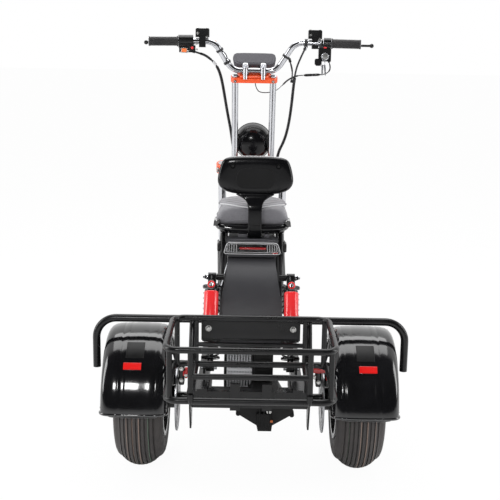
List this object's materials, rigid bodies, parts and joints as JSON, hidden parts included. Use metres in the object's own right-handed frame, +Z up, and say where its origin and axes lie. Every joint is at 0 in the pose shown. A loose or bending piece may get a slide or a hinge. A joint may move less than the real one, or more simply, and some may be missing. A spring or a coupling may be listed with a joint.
{
  "type": "electric three-wheel scooter",
  "caption": "Electric three-wheel scooter with a raked front fork, saddle with backrest, wide tyres under fenders, tube basket and roll bar at the rear.",
  "frame": {"origin": "on the ground, under the middle of the overall length and width", "axes": "+Z up, +Y forward, +X to the rider's right"},
  "size_m": [0.906, 1.9789, 1.265],
  "materials": {
    "frame_black": "satin",
    "gloss_black": "gloss",
    "satin_black": "satin",
    "cast_black": "rough",
    "cast_alloy": "cast",
    "deck_rubber": "ribbed",
    "seat_leather": "matt",
    "orange_paint": "satin",
    "red_anodised": "anodised",
    "chrome": "polished",
    "lever_black": "satin",
    "tyre_rubber": "matt",
    "rim_black": "satin",
    "disc_steel": "brushed",
    "clear_lens": "clear",
    "red_reflector": "gloss",
    "cable_black": "satin"
  },
  "bodies": {
    "chassis": {"main_frame": "frame_black", "footboard": "deck_rubber", "battery_box": "satin_black", "battery_pack": "cast_black", "seat_pan": "frame_black", "seat_cushion": "seat_leather", "backrest_arm": "gloss_black", "backrest_shell": "gloss_black", "backrest_pad": "seat_leather", "tail_light_housing": "satin_black", "tail_light_lens": "clear_lens", "rear_cowl": "satin_black", "rear_frame": "frame_black", "axle_housing": "cast_black", "drive_motor": "cast_alloy", "shock_absorbers": "lever_black", "shock_springs": "lever_black", "shock_reservoirs": "red_anodised", "rear_calipers": "red_anodised", "fender_left": "gloss_black", "fender_right": "gloss_black", "reflectors": "red_reflector", "fender_stays": "frame_black", "roll_bar": "frame_black", "rear_basket": "frame_black", "basket_plate": "frame_black"},
    "steering": {"upper_clamp": "orange_paint", "middle_crown": "orange_paint", "lower_crown": "frame_black", "riser_tubes": "chrome", "fork_stanchions": "chrome", "fork_sliders": "frame_black", "front_axle": "chrome", "front_caliper": "red_anodised", "front_fender": "gloss_black", "handlebar": "chrome", "handle_grips": "deck_rubber", "bar_clamps": "chrome", "brake_levers": "lever_black", "handlebar_switches": "satin_black", "display": "satin_black", "headlight_shell": "gloss_black", "headlight_lens": "clear_lens", "right_harness": "cable_black", "left_harness": "cable_black", "right_lead": "cable_black", "left_loop": "cable_black", "key_lead": "cable_black", "display_lead": "cable_black", "key_connector": "cable_black", "cable_fittings": "cable_black"},
    "front_wheel": {"front_tyre": "tyre_rubber", "front_rim": "rim_black", "front_disc": "disc_steel"},
    "rear_left_wheel": {"rear_left_tyre": "tyre_rubber", "rear_left_rim": "rim_black", "rear_left_disc": "disc_steel"},
    "rear_right_wheel": {"rear_right_tyre": "tyre_rubber", "rear_right_rim": "rim_black", "rear_right_disc": "disc_steel"}
  },
  "joints": [
    {"name": "steering_turn", "type": "hinge", "parent": "chassis", "child": "steering", "pos_m": [0, 0.58027, 0.59252], "axis": [0, -0.3891, 0.9212], "range_deg": [-35, 35]},
    {"name": "front_wheel_spin", "type": "hinge", "parent": "steering", "child": "front_wheel", "pos_m": [0, 0.7895, 0.2], "axis": [1, 0, 0], "continuous": true},
    {"name": "rear_left_wheel_spin", "type": "hinge", "parent": "chassis", "child": "rear_left_wheel", "pos_m": [-0.3145, -0.5605, 0.2], "axis": [1, 0, 0], "continuous": true},
    {"name": "rear_right_wheel_spin", "type": "hinge", "parent": "chassis", "child": "rear_right_wheel", "pos_m": [0.3145, -0.5605, 0.2], "axis": [1, 0, 0], "continuous": true}
  ]
}
